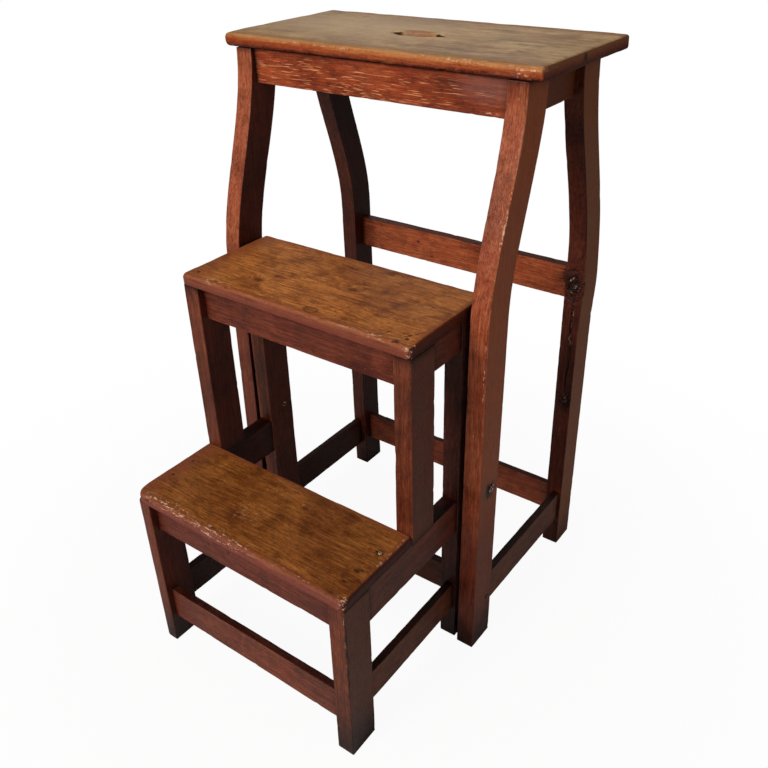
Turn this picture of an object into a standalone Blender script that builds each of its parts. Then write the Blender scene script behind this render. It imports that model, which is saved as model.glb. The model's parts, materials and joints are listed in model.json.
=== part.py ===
"""Metamorphic step stool in stained oak.

A tall stool with bowed legs carries a two-tread step unit on a pair of
pins. The unit stands open in front of the stool, and swings up and over
on the pins until its legs lie against the back of the stool.
X runs along the treads, Y from front to back, Z up. Metres.
"""
import math

import bmesh
import bpy
from mathutils import Vector

# Overall
HEIGHT = 0.750
DEPTH = 0.520
FRONT = -DEPTH / 2
BACK = DEPTH / 2
GAP = 0.0003
EASE = 0.0012

# Step unit, open, with its low tread at the front of the whole stool
UNIT_WIDTH = 0.337
UNIT_LEG_WIDTH = 0.0237
UNIT_LEG_DEPTH = 0.044
TREAD_THICK = 0.0145
TREAD_ROUND = 0.0035
LOW_TREAD_TOP = 0.255
LOW_TREAD_DEPTH = 0.1290
LOW_TREAD_CORNERS = (0.012, 0.008, 0, 0)
LOW_NOSING = 0.001
MID_TREAD_TOP = 0.504
MID_TREAD_CORNERS = (0.007, 0.007, 0, 0)
MID_NOSING = 0.0025
MID_TREAD_REAR_NOSING = 0.004
POST_JOINT = 0.0005
REAR_LEG_SETBACK = 0.2285
RAIL_THICK = 0.018
LOW_SIDE_RAIL_THICK = 0.0205
RAIL_SETBACK = 0.009
SIDE_RAIL_INSET = 0.0015
LOW_RAIL_DROP = 0.0445
LOW_SIDE_RAIL_DROP = 0.0515
MID_RAIL_DROP = 0.0445
MID_SIDE_RAIL_DROP = 0.0365
STRETCHER_THICK = 0.0105
UNIT_FRONT_STRETCHER_LOW = 0.0415
UNIT_FRONT_STRETCHER_HEIGHT = 0.049
UNIT_FRONT_STRETCHER_SETBACK = 0.008
UNIT_SIDE_STRETCHER_LOW = {"left": 0.0455, "right": 0.051}
UNIT_REAR_STRETCHER_LOW = 0.060
UNIT_STRETCHER_HEIGHT = 0.046
UNIT_SIDE_STRETCHER_INSET = 0.005
FOOT_EASE = 0.0025

# Tall stool
SIDE_CLEARANCE = 0.006
STOOL_LEG_WIDTH = 0.0245
FRONT_LEG_DEPTH = 0.044
BACK_LEG_DEPTH = 0.040
FRONT_FOOT_LEAD = 0.004
FRONT_LEAN = 0.0075
BACK_LEAN = -0.006
FRONT_BOW = 0.0575
BACK_BOW = -0.056
BOW_BELOW_TOP = 0.271
BOW_LENGTH = 0.255
BOW_STEPS = 14
BOARD_SIDE_OVERHANG = 0.016
BOARD_FRONT_SETBACK = 0.0395
BOARD_BACK_INSET = 0.024
BOARD_THICK = 0.016
BOARD_ROUND = 0.0058
BOARD_CORNER = 0.007
SLOT_LENGTH = 0.074
SLOT_WIDTH = 0.027
SLOT_WAIST = 0.006
SLOT_CUSP = 0.22
SLOT_OFFSET = 0.004
SLOT_LEAD = 0.005
SLOT_STEPS = 18
APRON_THICK = 0.015
APRON_HEIGHT = 0.0402
APRON_SETBACK = 0.009
SIDE_APRON_THICK = 0.014
SIDE_APRON_INSET = 0.011
UPPER_STRETCHER_LOW = 0.4145
UPPER_STRETCHER_HEIGHT = 0.045
UPPER_STRETCHER_LEAD = 0.007
UPPER_STRETCHER_THICK = 0.015
LOWER_STRETCHER_LOW = 0.051
LOWER_STRETCHER_HEIGHT = 0.048
LOWER_STRETCHER_LEAD = 0.009
SIDE_STRETCHER_LOW = {"left": 0.0420, "right": 0.0510}
SIDE_STRETCHER_HEIGHT = 0.049
SIDE_STRETCHER_INSET = 0.004

# Fastenings
PIVOT_SETBACK = 0.0278
PIVOT_Z = 0.2562
PIN_RADIUS = 0.0035
PEG_RADIUS = 0.0035
PEG_LENGTH = 0.018
PEG_SETBACK = 0.0125
PEG_Z = 0.069
NAIL_RADIUS = 0.0022
NAIL_LENGTH = 0.036
NAIL_INSET = 0.015
LOW_NAIL_SETBACKS = (0.052, 0.086)
MID_NAIL_SETBACK = 0.016
CUTTER_OVERRUN = 0.01
ROUND_SIDES = 24

# Places worked out from the sizes
SIDES = (("left", -1), ("right", 1))
UNIT_HALF = UNIT_WIDTH / 2
UNIT_INNER = UNIT_HALF - UNIT_LEG_WIDTH
STOOL_INNER = UNIT_HALF + SIDE_CLEARANCE
STOOL_HALF = STOOL_INNER + STOOL_LEG_WIDTH
LOW_UNDERSIDE = LOW_TREAD_TOP - TREAD_THICK
MID_UNDERSIDE = MID_TREAD_TOP - TREAD_THICK
LOW_LEG_FRONT = FRONT + LOW_NOSING
MID_POST_FRONT = FRONT + LOW_TREAD_DEPTH + POST_JOINT
MID_TREAD_FRONT = MID_POST_FRONT - MID_NOSING
REAR_LEG_FRONT = FRONT + REAR_LEG_SETBACK
REAR_LEG_BACK = REAR_LEG_FRONT + UNIT_LEG_DEPTH
FRONT_FOOT_CENTRE = REAR_LEG_FRONT + UNIT_LEG_DEPTH / 2 - FRONT_FOOT_LEAD
BACK_FOOT_CENTRE = BACK - BACK_LEG_DEPTH / 2
BOW_START = HEIGHT - BOW_BELOW_TOP
BOARD_FRONT = FRONT_FOOT_CENTRE + BOARD_FRONT_SETBACK
BOARD_BACK = BACK - BOARD_BACK_INSET
BOARD_HALF = STOOL_HALF + BOARD_SIDE_OVERHANG
LEG_TOP = HEIGHT - BOARD_THICK - GAP
APRON_BOTTOM = LEG_TOP - APRON_HEIGHT
PIVOT_Y = REAR_LEG_FRONT + PIVOT_SETBACK


def clear_scene():
    for obj in list(bpy.data.objects):
        bpy.data.objects.remove(obj, do_unlink=True)


def material(name, colour, roughness, metallic=0.0):
    mat = bpy.data.materials.new(name)
    mat.use_nodes = True
    shader = mat.node_tree.nodes["Principled BSDF"]
    shader.inputs["Base Color"].default_value = (*colour, 1.0)
    shader.inputs["Roughness"].default_value = roughness
    shader.inputs["Metallic"].default_value = metallic
    return mat


def add_object(name, bm, centre, mat, parent=None):
    """Make an object whose origin is `centre`, given in world metres."""
    bm.normal_update()
    bmesh.ops.recalc_face_normals(bm, faces=bm.faces)
    mesh = bpy.data.meshes.new(name)
    bm.to_mesh(mesh)
    bm.free()
    mesh.materials.append(mat)
    obj = bpy.data.objects.new(name, mesh)
    bpy.context.scene.collection.objects.link(obj)
    obj.location = Vector(centre)
    if parent is not None:
        obj.parent = parent
        obj.location = Vector(centre) - parent.location
    return obj


def ease_edges(obj, width, segments=2, angle=30):
    bevel = obj.modifiers.new("Eased edges", "BEVEL")
    bevel.width = width
    bevel.segments = segments
    bevel.limit_method = "ANGLE"
    bevel.angle_limit = math.radians(angle)
    return bevel


def prism(outline, axis, low, high):
    """Extrude a flat outline from `low` to `high` along X or Z."""
    bm = bmesh.new()
    rings = []
    for level in (low, high):
        if axis == "X":
            ring = [bm.verts.new((level, a, b)) for a, b in outline]
        else:
            ring = [bm.verts.new((a, b, level)) for a, b in outline]
        rings.append(ring)
    bm.faces.new(rings[0])
    bm.faces.new(rings[1])
    count = len(outline)
    for i in range(count):
        j = (i + 1) % count
        bm.faces.new((rings[0][i], rings[0][j], rings[1][j], rings[1][i]))
    return bm


def outline_piece(name, outline, axis, low, high, mat, parent=None, ease=EASE):
    """Extruded piece with its origin at the middle of its own box."""
    us = [point[0] for point in outline]
    vs = [point[1] for point in outline]
    mid_u = (min(us) + max(us)) / 2
    mid_v = (min(vs) + max(vs)) / 2
    middle = (low + high) / 2
    local = [(u - mid_u, v - mid_v) for u, v in outline]
    bm = prism(local, axis, low - middle, high - middle)
    centre = (middle, mid_u, mid_v) if axis == "X" else (mid_u, mid_v, middle)
    obj = add_object(name, bm, centre, mat, parent)
    if ease:
        ease_edges(obj, ease)
    return obj


def board(name, x_range, y_range, z_range, mat, parent=None, ease=EASE):
    """Square-edged length of timber between the given limits."""
    y0, y1 = y_range
    z0, z1 = z_range
    outline = [(y0, z0), (y1, z0), (y1, z1), (y0, z1)]
    return outline_piece(name, outline, "X", x_range[0], x_range[1], mat, parent, ease)


def side_range(sign, inner, outer):
    return (inner, outer) if sign > 0 else (-outer, -inner)


def rounded_rectangle(x0, x1, y0, y1, radii, steps=5):
    """Outline from the front left corner, anticlockwise, one radius per corner."""
    corners = (
        (x0, y0, 1, 1, 180),
        (x1, y0, -1, 1, 270),
        (x1, y1, -1, -1, 0),
        (x0, y1, 1, -1, 90),
    )
    points = []
    for (x, y, sx, sy, start), radius in zip(corners, radii):
        if radius == 0:
            points.append((x, y))
            continue
        for i in range(steps + 1):
            angle = math.radians(start + 90 * i / steps)
            cx = x + sx * radius
            cy = y + sy * radius
            points.append((cx + radius * math.cos(angle), cy + radius * math.sin(angle)))
    return points


def cylinder(name, axis, centre, length, radius, mat, parent=None):
    bm = bmesh.new()
    bmesh.ops.create_cone(
        bm, cap_ends=True, segments=ROUND_SIDES, radius1=radius, radius2=radius, depth=length
    )
    if axis == "X":
        for vert in bm.verts:
            x, y, z = vert.co
            vert.co = (z, y, -x)
    obj = add_object(name, bm, centre, mat, parent)
    for face in obj.data.polygons:
        face.use_smooth = len(face.vertices) == 4
    return obj


def cut(target, name, axis, centre, length, radius):
    """Drill a round hole in `target`; the cutter is left hidden."""
    cutter = cylinder(name, axis, centre, length, radius, oak_stretcher, target.parent)
    hide_cutter(cutter)
    subtract(target, cutter)


def hide_cutter(cutter):
    cutter.hide_render = True
    cutter.hide_set(True)
    cutter.display_type = "WIRE"


def subtract(target, cutter):
    boolean = target.modifiers.new("Cut " + cutter.name, "BOOLEAN")
    boolean.operation = "DIFFERENCE"
    boolean.solver = "EXACT"
    boolean.object = cutter


def smooth_step(t):
    t = min(max(t, 0.0), 1.0)
    return t * t * (3 - 2 * t)


def leg_levels():
    levels = [0.0, BOW_START / 2, BOW_START]
    step = (LEG_TOP - BOW_START) / BOW_STEPS
    levels += [BOW_START + step * (i + 1) for i in range(BOW_STEPS)]
    return levels


def leg_edges(foot, lean, bow, depth):
    """Front and back edge of a bowed leg, as lists of (y, z)."""
    def centre(z):
        lower = foot + lean * min(z / BOW_START, 1.0)
        return lower + bow * smooth_step((z - BOW_START) / BOW_LENGTH)

    front = []
    back = []
    for z in leg_levels():
        front.append((centre(z) - depth / 2, z))
        back.append((centre(z) + depth / 2, z))
    return front, back


def edge_at(edge, z):
    """Where a leg edge stands at height z, along its straight facets."""
    for (y0, z0), (y1, z1) in zip(edge, edge[1:]):
        if z0 <= z <= z1:
            return y0 + (y1 - y0) * (z - z0) / (z1 - z0)
    return edge[-1][0]


def between_legs(low, high):
    """Outline of a side piece scribed to the front and back legs."""
    inside = [z for z in leg_levels() if low < z < high]
    levels = [low] + inside + [high]
    start = [(edge_at(FRONT_EDGES[1], z) + GAP, z) for z in levels]
    end = [(edge_at(BACK_EDGES[0], z) - GAP, z) for z in reversed(levels)]
    return start + end


def slot_outline():
    """Bracket-shaped hand-hold with a cusp in its near side."""
    middle_y = (BOARD_FRONT + BOARD_BACK) / 2 - SLOT_LEAD
    half = SLOT_LENGTH / 2
    points = []
    for i in range(SLOT_STEPS):
        t = -1 + 2 * i / SLOT_STEPS
        lobe = (1 - t * t) ** 0.5
        points.append((t * half, lobe * SLOT_WIDTH / 2))
    for i in range(SLOT_STEPS):
        t = 1 - 2 * i / SLOT_STEPS
        lobe = (1 - t * t) ** 0.5
        cusp = SLOT_WAIST * math.exp(-((t / SLOT_CUSP) ** 2))
        points.append((t * half, -lobe * SLOT_WIDTH / 2 + cusp))
    return [(SLOT_OFFSET + x, middle_y + y) for x, y in points]


clear_scene()
oak_top = material("oak_worn_top", (0.30, 0.19, 0.10), 0.45)
oak_tread = material("oak_golden_tread", (0.32, 0.16, 0.06), 0.40)
oak_frame = material("oak_stained_frame", (0.22, 0.07, 0.03), 0.40)
oak_stretcher = material("oak_stained_stretcher", (0.26, 0.09, 0.035), 0.42)
iron = material("dark_iron", (0.16, 0.15, 0.14), 0.45, 0.9)

FRONT_EDGES = leg_edges(FRONT_FOOT_CENTRE, FRONT_LEAN, FRONT_BOW, FRONT_LEG_DEPTH)
BACK_EDGES = leg_edges(BACK_FOOT_CENTRE, BACK_LEAN, BACK_BOW, BACK_LEG_DEPTH)

# Bowed legs of the stool
stool_legs = {}
for place, edges in (("front", FRONT_EDGES), ("back", BACK_EDGES)):
    outline = edges[0] + list(reversed(edges[1]))
    for side, sign in SIDES:
        low, high = side_range(sign, STOOL_INNER, STOOL_HALF)
        leg = outline_piece("stool_leg_" + place + "_" + side, outline, "X", low, high, oak_frame)
        stool_legs[place, side] = leg

# Aprons under the top board
front_face = edge_at(FRONT_EDGES[0], APRON_BOTTOM) + APRON_SETBACK
back_face = edge_at(BACK_EDGES[1], APRON_BOTTOM) - APRON_SETBACK
apron_x = (-STOOL_INNER + GAP, STOOL_INNER - GAP)
apron_z = (APRON_BOTTOM, LEG_TOP)
board("stool_apron_front", apron_x, (front_face, front_face + APRON_THICK), apron_z, oak_frame)
board("stool_apron_back", apron_x, (back_face - APRON_THICK, back_face), apron_z, oak_frame)
for side, sign in SIDES:
    outer = STOOL_HALF - SIDE_APRON_INSET
    low, high = side_range(sign, outer - SIDE_APRON_THICK, outer)
    outline = between_legs(*apron_z)
    outline_piece("stool_apron_" + side, outline, "X", low, high, oak_frame)

# Stretchers of the stool
upper_face = BACK_FOOT_CENTRE - UPPER_STRETCHER_LEAD
upper_y = (upper_face, upper_face + UPPER_STRETCHER_THICK)
upper_z = (UPPER_STRETCHER_LOW, UPPER_STRETCHER_LOW + UPPER_STRETCHER_HEIGHT)
board("stool_stretcher_back_upper", apron_x, upper_y, upper_z, oak_stretcher)
lower_face = BACK_FOOT_CENTRE - LOWER_STRETCHER_LEAD
lower_y = (lower_face, lower_face + STRETCHER_THICK)
lower_z = (LOWER_STRETCHER_LOW, LOWER_STRETCHER_LOW + LOWER_STRETCHER_HEIGHT)
board("stool_stretcher_back_lower", apron_x, lower_y, lower_z, oak_stretcher)
for side, sign in SIDES:
    outer = STOOL_HALF - SIDE_STRETCHER_INSET
    low, high = side_range(sign, outer - STRETCHER_THICK, outer)
    bottom = SIDE_STRETCHER_LOW[side]
    outline = between_legs(bottom, bottom + SIDE_STRETCHER_HEIGHT)
    outline_piece("stool_stretcher_" + side, outline, "X", low, high, oak_stretcher)

# Top board with its hand-hold
board_outline = rounded_rectangle(
    -BOARD_HALF, BOARD_HALF, BOARD_FRONT, BOARD_BACK, (BOARD_CORNER,) * 4
)
top_board = outline_piece(
    "stool_top_board", board_outline, "Z", HEIGHT - BOARD_THICK, HEIGHT, oak_top, ease=0
)
ease_edges(top_board, BOARD_ROUND, segments=4, angle=50)
slot_cutter = outline_piece(
    "slot_cutter", slot_outline(), "Z", HEIGHT - 2 * BOARD_THICK, HEIGHT + BOARD_THICK, oak_top, ease=0
)
hide_cutter(slot_cutter)
subtract(top_board, slot_cutter)

# Step unit, hung on an empty that stands on the pivot axis
unit = bpy.data.objects.new("step_unit_pivot", None)
bpy.context.scene.collection.objects.link(unit)
unit.location = (0.0, PIVOT_Y, PIVOT_Z)

low_post_z = (0.0, LOW_UNDERSIDE - GAP)
low_leg_y = (LOW_LEG_FRONT, LOW_LEG_FRONT + UNIT_LEG_DEPTH)
mid_post_y = (MID_POST_FRONT, MID_POST_FRONT + UNIT_LEG_DEPTH)
mid_top = MID_UNDERSIDE - GAP
rail_top = LOW_UNDERSIDE - GAP
rear_legs = {}
mid_posts = {}
low_rails = {}
for side, sign in SIDES:
    leg_x = side_range(sign, UNIT_INNER, UNIT_HALF)
    board("step_leg_low_" + side, leg_x, low_leg_y, low_post_z, oak_frame, unit)
    post_z = (rail_top + GAP, mid_top)
    mid_posts[side] = board("step_post_mid_" + side, leg_x, mid_post_y, post_z, oak_frame, unit)
    rear_outline = [
        (REAR_LEG_FRONT, 0.0),
        (REAR_LEG_BACK - 2 * FOOT_EASE, 0.0),
        (REAR_LEG_BACK, FOOT_EASE),
        (REAR_LEG_BACK, mid_top),
        (REAR_LEG_FRONT, mid_top),
    ]
    rear_legs[side] = outline_piece(
        "step_leg_rear_" + side, rear_outline, "X", leg_x[0], leg_x[1], oak_frame, unit
    )
    outer = UNIT_HALF - SIDE_RAIL_INSET
    rail_x = side_range(sign, outer - LOW_SIDE_RAIL_THICK, outer)
    rail_y = (low_leg_y[1] + GAP, REAR_LEG_FRONT - GAP)
    rail_z = (LOW_UNDERSIDE - LOW_SIDE_RAIL_DROP, rail_top)
    low_rails[side] = board("step_rail_low_" + side, rail_x, rail_y, rail_z, oak_frame, unit)
    rail_x = side_range(sign, outer - RAIL_THICK, outer)
    rail_y = (mid_post_y[1] + GAP, REAR_LEG_FRONT - GAP)
    rail_z = (MID_UNDERSIDE - MID_SIDE_RAIL_DROP, mid_top)
    board("step_rail_mid_" + side, rail_x, rail_y, rail_z, oak_frame, unit)
    outer = UNIT_HALF - UNIT_SIDE_STRETCHER_INSET
    stretcher_x = side_range(sign, outer - STRETCHER_THICK, outer)
    stretcher_y = (low_leg_y[1] + GAP, REAR_LEG_FRONT - GAP)
    stretcher_low = UNIT_SIDE_STRETCHER_LOW[side]
    stretcher_z = (stretcher_low, stretcher_low + UNIT_STRETCHER_HEIGHT)
    board("step_stretcher_" + side, stretcher_x, stretcher_y, stretcher_z, oak_stretcher, unit)

# Rails and stretchers across the unit
across = (-UNIT_INNER + GAP, UNIT_INNER - GAP)
low_face = LOW_LEG_FRONT + RAIL_SETBACK
low_z = (LOW_UNDERSIDE - LOW_RAIL_DROP, rail_top)
board("step_rail_low_front", across, (low_face, low_face + RAIL_THICK), low_z, oak_frame, unit)
mid_face = MID_POST_FRONT + RAIL_SETBACK
mid_z = (MID_UNDERSIDE - MID_RAIL_DROP, mid_top)
board("step_rail_mid_front", across, (mid_face, mid_face + RAIL_THICK), mid_z, oak_frame, unit)
rear_face = REAR_LEG_BACK - RAIL_SETBACK
board("step_rail_mid_rear", across, (rear_face - RAIL_THICK, rear_face), mid_z, oak_frame, unit)
front_z = (UNIT_FRONT_STRETCHER_LOW, UNIT_FRONT_STRETCHER_LOW + UNIT_FRONT_STRETCHER_HEIGHT)
front_face = LOW_LEG_FRONT + UNIT_FRONT_STRETCHER_SETBACK
front_y = (front_face, front_face + STRETCHER_THICK)
board("step_stretcher_front", across, front_y, front_z, oak_stretcher, unit)
rear_middle = REAR_LEG_FRONT + UNIT_LEG_DEPTH / 2
rear_y = (rear_middle - STRETCHER_THICK / 2, rear_middle + STRETCHER_THICK / 2)
rear_z = (UNIT_REAR_STRETCHER_LOW, UNIT_REAR_STRETCHER_LOW + UNIT_STRETCHER_HEIGHT)
board("step_stretcher_rear", across, rear_y, rear_z, oak_stretcher, unit)

# Treads
low_outline = rounded_rectangle(
    -UNIT_HALF, UNIT_HALF, FRONT, FRONT + LOW_TREAD_DEPTH, LOW_TREAD_CORNERS
)
low_tread = outline_piece(
    "step_tread_low", low_outline, "Z", LOW_UNDERSIDE, LOW_TREAD_TOP, oak_tread, unit, ease=0
)
mid_tread_back = REAR_LEG_BACK + MID_TREAD_REAR_NOSING
mid_outline = rounded_rectangle(
    -UNIT_HALF, UNIT_HALF, MID_TREAD_FRONT, mid_tread_back, MID_TREAD_CORNERS
)
mid_tread = outline_piece(
    "step_tread_mid", mid_outline, "Z", MID_UNDERSIDE, MID_TREAD_TOP, oak_tread, unit, ease=0
)
for tread in (low_tread, mid_tread):
    ease_edges(tread, TREAD_ROUND, segments=3, angle=50)

# Pivot pins through the stool legs and the rear legs of the unit
pin_length = STOOL_HALF - UNIT_INNER
for side, sign in SIDES:
    middle = (sign * (STOOL_HALF + UNIT_INNER) / 2, PIVOT_Y, PIVOT_Z)
    cylinder("pivot_pin_" + side, "X", middle, pin_length, PIN_RADIUS, iron)
    for target in (stool_legs["front", side], rear_legs[side]):
        hole = "pin_cutter_" + target.name
        cut(target, hole, "X", middle, pin_length + 2 * CUTTER_OVERRUN, PIN_RADIUS + GAP)

# Pegs that lock the side stretchers in the front legs
peg_y = FRONT_FOOT_CENTRE + PEG_SETBACK
for side, sign in SIDES:
    middle = (sign * (STOOL_HALF - PEG_LENGTH / 2), peg_y, PEG_Z)
    cylinder("stretcher_peg_" + side, "X", middle, PEG_LENGTH, PEG_RADIUS, oak_stretcher)
    bore = (sign * STOOL_HALF, peg_y, PEG_Z)
    leg = stool_legs["front", side]
    cut(leg, "peg_cutter_" + side, "X", bore, 2 * (PEG_LENGTH + GAP), PEG_RADIUS + GAP)

# Nails through the treads into the rails and posts
mid_nail_y = MID_TREAD_FRONT + MID_NAIL_SETBACK
for side, sign in SIDES:
    nail_x = sign * (UNIT_HALF - NAIL_INSET)
    for index, setback in enumerate(LOW_NAIL_SETBACKS):
        nail_y = FRONT + setback
        label = "low_" + side + "_" + str(index + 1)
        centre = (nail_x, nail_y, LOW_TREAD_TOP - NAIL_LENGTH / 2)
        cylinder("nail_" + label, "Z", centre, NAIL_LENGTH, NAIL_RADIUS, iron, unit)
        mouth = (nail_x, nail_y, LOW_TREAD_TOP)
        for target in (low_tread, low_rails[side]):
            name = "nail_cutter_" + label + "_" + target.name
            cut(target, name, "Z", mouth, 2 * (NAIL_LENGTH + GAP), NAIL_RADIUS + GAP)
    centre = (nail_x, mid_nail_y, MID_TREAD_TOP - NAIL_LENGTH / 2)
    cylinder("nail_mid_" + side, "Z", centre, NAIL_LENGTH, NAIL_RADIUS, iron, unit)
    mouth = (nail_x, mid_nail_y, MID_TREAD_TOP)
    for target in (mid_tread, mid_posts[side]):
        name = "nail_cutter_mid_" + side + "_" + target.name
        cut(target, name, "Z", mouth, 2 * (NAIL_LENGTH + GAP), NAIL_RADIUS + GAP)
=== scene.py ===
"""Looks of the metamorphic step stool: old stained oak, waxed and worn.

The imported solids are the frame. Each piece below stands for one of them,
with its own worn edges, grain, pores and marks. Metres, Z up.
"""

import json
import math

import bmesh
import bpy
from mathutils import Matrix, Vector, noise


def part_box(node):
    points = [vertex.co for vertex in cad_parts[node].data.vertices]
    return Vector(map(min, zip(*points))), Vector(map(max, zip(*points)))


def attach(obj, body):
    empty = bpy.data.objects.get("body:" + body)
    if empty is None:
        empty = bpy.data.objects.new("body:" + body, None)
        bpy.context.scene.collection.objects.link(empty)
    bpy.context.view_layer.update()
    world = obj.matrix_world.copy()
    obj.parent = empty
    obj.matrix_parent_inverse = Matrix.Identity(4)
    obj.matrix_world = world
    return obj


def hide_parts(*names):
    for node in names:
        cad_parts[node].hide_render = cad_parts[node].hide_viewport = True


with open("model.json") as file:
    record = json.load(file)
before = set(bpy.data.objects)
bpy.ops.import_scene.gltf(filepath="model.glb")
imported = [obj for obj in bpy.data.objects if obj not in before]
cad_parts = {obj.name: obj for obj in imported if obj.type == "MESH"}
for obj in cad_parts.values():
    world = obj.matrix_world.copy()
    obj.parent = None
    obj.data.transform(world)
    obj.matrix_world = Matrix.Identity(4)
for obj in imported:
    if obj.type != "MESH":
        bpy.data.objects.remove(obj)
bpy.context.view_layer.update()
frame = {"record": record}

# Camera. It stands a little above the top board, in front of the left end
# of the treads, and looks down at the stool as the photograph does.
CAMERA_PLACE = Vector((0.5912, -0.7365, 0.913))
CAMERA_YAW = math.radians(37.1)
CAMERA_PITCH = math.radians(-31.4)
CAMERA_ROLL = math.radians(-1.6)
SENSOR = 36.0
FOCAL_LENGTH = SENSOR * 842.8 / 768

camera = bpy.data.objects.new("camera", bpy.data.cameras.new("camera"))
bpy.context.scene.collection.objects.link(camera)
camera.data.sensor_width = SENSOR
camera.data.lens = FOCAL_LENGTH
camera.data.clip_start = 0.05
turn = Matrix.Rotation(CAMERA_YAW, 4, "Z") @ Matrix.Rotation(math.pi / 2 + CAMERA_PITCH, 4, "X")
turn = turn @ Matrix.Rotation(CAMERA_ROLL, 4, "Z")
camera.matrix_world = Matrix.Translation(CAMERA_PLACE) @ turn
bpy.context.scene.camera = camera
bpy.context.scene.view_settings.view_transform = "Standard"

# Studio. One big soft lamp high at the front, a weak warm one low at the
# right, one behind, a dim room, and a pale floor that keeps a faint shadow.
FLOOR_WIDTH = 7.0
FLOOR_DROP = 0.0006


def plug(node, inputs):
    """Sets inputs of a node, each to a value or to another node's output."""
    for socket, value in inputs.items():
        if isinstance(value, bpy.types.NodeSocket):
            node.id_data.links.new(value, node.inputs[socket])
        else:
            node.inputs[socket].default_value = value


def plant(tree, kind, inputs, **settings):
    """Adds a node with these settings and inputs."""
    node = tree.nodes.new("ShaderNode" + kind)
    for name, value in settings.items():
        setattr(node, name, value)
    plug(node, inputs)
    return node


def figure(operation, *values):
    """Arithmetic on numbers and nodes' outputs, with at least one output among them."""
    tree = next(value.id_data for value in values if isinstance(value, bpy.types.NodeSocket))
    return plant(tree, "Math", dict(enumerate(values)), operation=operation).outputs[0]


def vector(operation, *values):
    """Vector arithmetic that starts from a node's output; a length comes out as a number."""
    node = plant(values[0].id_data, "VectorMath", dict(enumerate(values)), operation=operation)
    return node.outputs["Value" if operation in ("LENGTH", "DOT_PRODUCT") else "Vector"]


def between(value, start, end, low=0.0):
    """low before start, 1 past end, smooth between; end may lie below start."""
    inputs = {0: value, 1: start, 2: end, 3: low}
    return plant(value.id_data, "MapRange", inputs, interpolation_type="SMOOTHSTEP").outputs[0]


def new_finish(name):
    """A new material, and its shader."""
    finish = bpy.data.materials.new(name)
    finish.use_nodes = True
    return finish, finish.node_tree.nodes["Principled BSDF"]


def place_in(finish):
    return plant(finish.node_tree, "TexCoord", {}).outputs["Object"]


def add_lamp(name, place, target, width, height, power, tone):
    lamp = bpy.data.objects.new(name, bpy.data.lights.new(name, "AREA"))
    bpy.context.scene.collection.objects.link(lamp)
    lamp.data.shape = "RECTANGLE"
    lamp.data.size = width
    lamp.data.size_y = height
    lamp.data.energy = power
    lamp.data.color = tone
    lamp.location = place
    lamp.rotation_euler = (Vector(target) - Vector(place)).to_track_quat("-Z", "Y").to_euler()


add_lamp("window_lamp", (-0.32, -2.20, 2.0), (0, 0.05, 0.4), 1.0, 1.0, 63, (1.0, 0.97, 0.93))
add_lamp("right_lamp", (2.3, -0.5, 0.9), (0, 0, 0.30), 1.2, 1.2, 7, (1.0, 0.90, 0.78))
add_lamp("back_lamp", (-1.4, 2.3, 1.6), (0, 0.1, 0.6), 1.2, 1.0, 2.5, (1.0, 0.97, 0.94))

room = bpy.data.worlds.new("room")
bpy.context.scene.world = room
room.use_nodes = True
room_tree = room.node_tree
room_tree.nodes.clear()
dim, sheen, white = [
    plant(room_tree, "Background", {"Color": (*tone, 1), "Strength": strength}).outputs[0]
    for tone, strength in (((1.0, 0.95, 0.90), 0.19), ((1.0, 0.91, 0.82), 0.14), ((1.0, 1.0, 1.0), 1.0))
]
rays = plant(room_tree, "LightPath", {}).outputs
mirrored = figure("MAXIMUM", rays["Is Glossy Ray"], rays["Is Transmission Ray"])
unseen = plant(room_tree, "MixShader", {0: mirrored, 1: dim, 2: sheen}).outputs[0]
seen = plant(room_tree, "MixShader", {0: rays["Is Camera Ray"], 1: unseen, 2: white}).outputs[0]
plant(room_tree, "OutputWorld", {"Surface": seen})

bpy.ops.mesh.primitive_plane_add(size=FLOOR_WIDTH, location=(0, 0, -FLOOR_DROP))
floor = bpy.context.object
floor.name = "floor"
floor_paint, lit = new_finish("pale_floor")
plug(lit, {"Base Color": (0.62, 0.61, 0.60, 1), "Roughness": 0.9, "Specular IOR Level": 0.1})
floor_tree = floor_paint.node_tree
glow = plant(floor_tree, "Emission", {"Color": (1, 1, 1, 1), "Strength": 1.0})
whiteness = between(vector("LENGTH", place_in(floor_paint)), 0.15, 0.95, 0.94)
share = figure("MULTIPLY", plant(floor_tree, "LightPath", {}).outputs["Is Camera Ray"], whiteness)
floor_mix = plant(floor_tree, "MixShader", {0: share, 1: lit.outputs[0], 2: glow.outputs[0]})
plug(floor_tree.nodes["Material Output"], {"Surface": floor_mix.outputs[0]})
floor.data.materials.append(floor_paint)

# Top board. One wide oak board, greyed on top by hands and feet and
# lightened by a painted sheen, with a half-round worn front edge and a
# bracket-shaped hand-hold cut through it.
BOARD_TOP = 0.75
BOARD_VOXEL = 0.0019
BOARD_NOSE = 0.0056
BOARD_END = 0.0026
BOARD_CORNER = 0.0035
HAND_LENGTH = 0.074
HAND_WIDTH = 0.031
HAND_CUSP = 0.0065
HAND_X = 0.004
HAND_LEAD = 0.005
HAND_RIM = 0.0038
TOUCH = 0.0001
WEAR = 0.20


def clamp(value):
    return min(max(value, 0.0), 1.0)


def bell(distance, width, power=2):
    """1 at no distance, falling to about a third at the width, the steeper the higher the power."""
    return math.exp(-((distance / width) ** power))


def srgb(red, green, blue):
    """Shader colour of a paint-chip colour given from 0 to 255."""
    return [((part / 255 + 0.055) / 1.055) ** 2.4 for part in (red, green, blue)] + [1.0]


def times(first, second):
    return figure("MULTIPLY", first, second)


def plus(first, second):
    return figure("ADD", first, second)


def wavering(value, *swings):
    """A value that noises move up and down. Each swing is (noise, its share)."""
    for pattern, share in swings:
        value = plus(value, times(figure("SUBTRACT", pattern, 0.5), share))
    return value


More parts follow.
